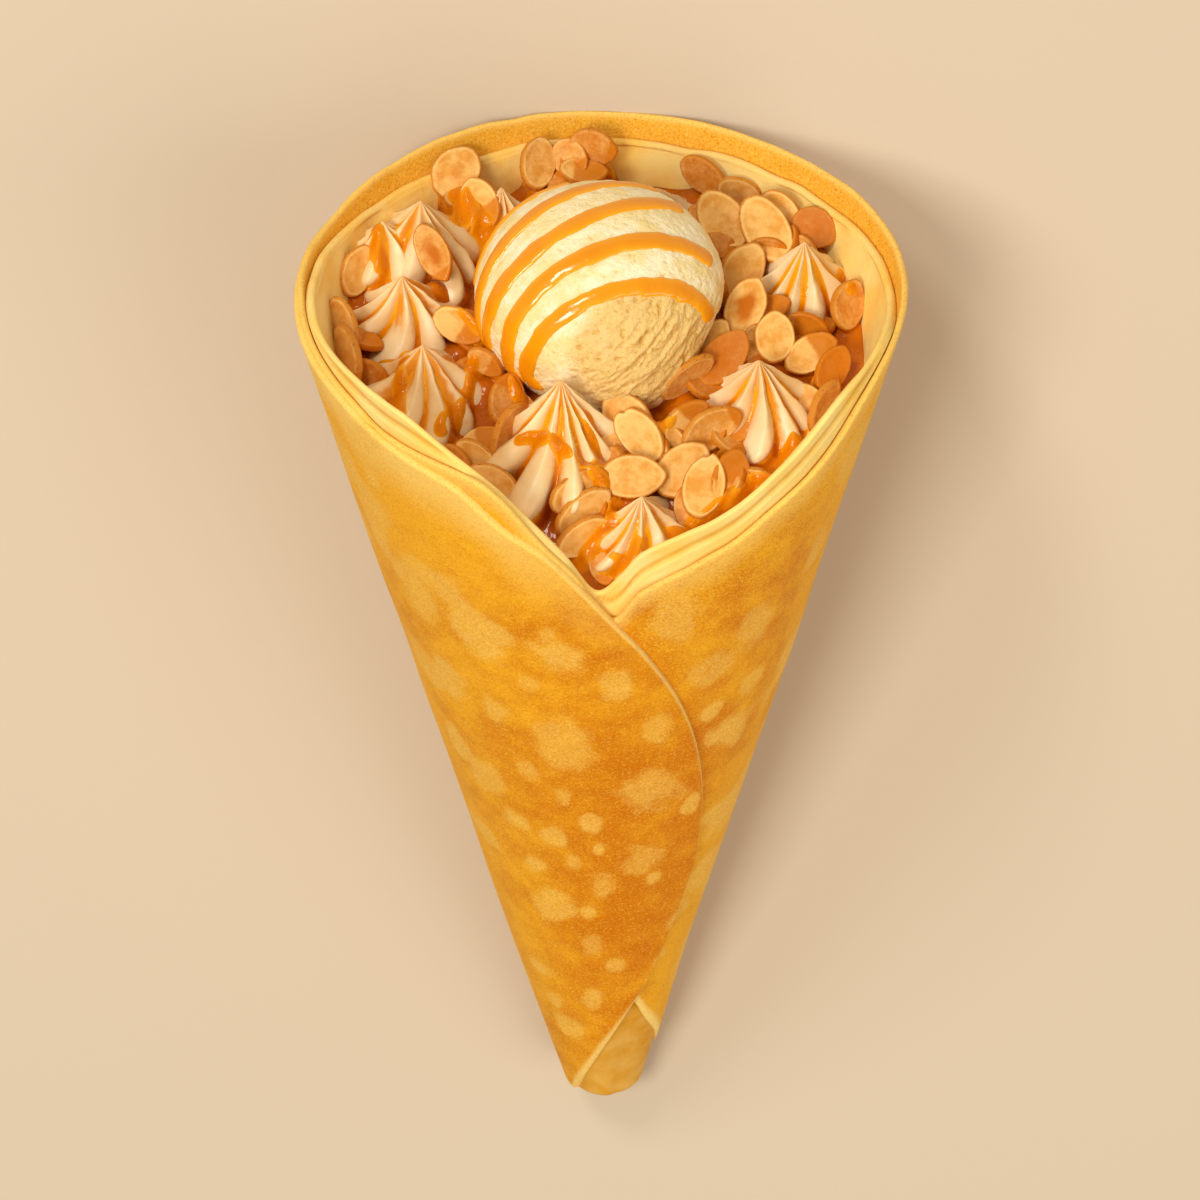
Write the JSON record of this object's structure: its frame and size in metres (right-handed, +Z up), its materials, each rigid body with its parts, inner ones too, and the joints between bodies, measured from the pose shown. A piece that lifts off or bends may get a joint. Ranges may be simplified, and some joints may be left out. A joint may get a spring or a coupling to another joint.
{
  "type": "crepe cone",
  "caption": "Griddle crepe rolled into a cone and filled with caramel cream, an ice cream scoop, piped cream rosettes and almond flakes, lying on its back.",
  "frame": {"origin": "middle of the flat strip underneath: centre of the bounding box's bottom face", "axes": "+Z up from the surface that the cone lies on, towards the lap of the crepe; +Y along the cone from its tip to its mouth; +X to the right, seen from the tip"},
  "size_m": [0.1178, 0.2177, 0.1036],
  "materials": {
    "crepe": "soft browned crepe, speckled, with a slight sheen",
    "caramel": "glossy caramel sauce over cream, with toasted almond flakes fused on",
    "ice_cream": "ivory ice cream with caramel stripes",
    "piped_cream": "soft satin cream with caramel in the folds"
  },
  "bodies": {
    "root": {"crepe_wrap": "crepe", "caramel_filling_with_flakes": "caramel", "ice_cream_scoop": "ice_cream", "rosette_back_left": "piped_cream", "rosette_left": "piped_cream", "rosette_front_left": "piped_cream", "rosette_front": "piped_cream", "rosette_lap": "piped_cream", "rosette_front_right": "piped_cream", "rosette_right": "piped_cream", "rosette_back": "piped_cream", "rosette_back_small": "piped_cream", "rosette_wall": "piped_cream", "rosette_middle": "piped_cream"}
  },
  "joints": []
}
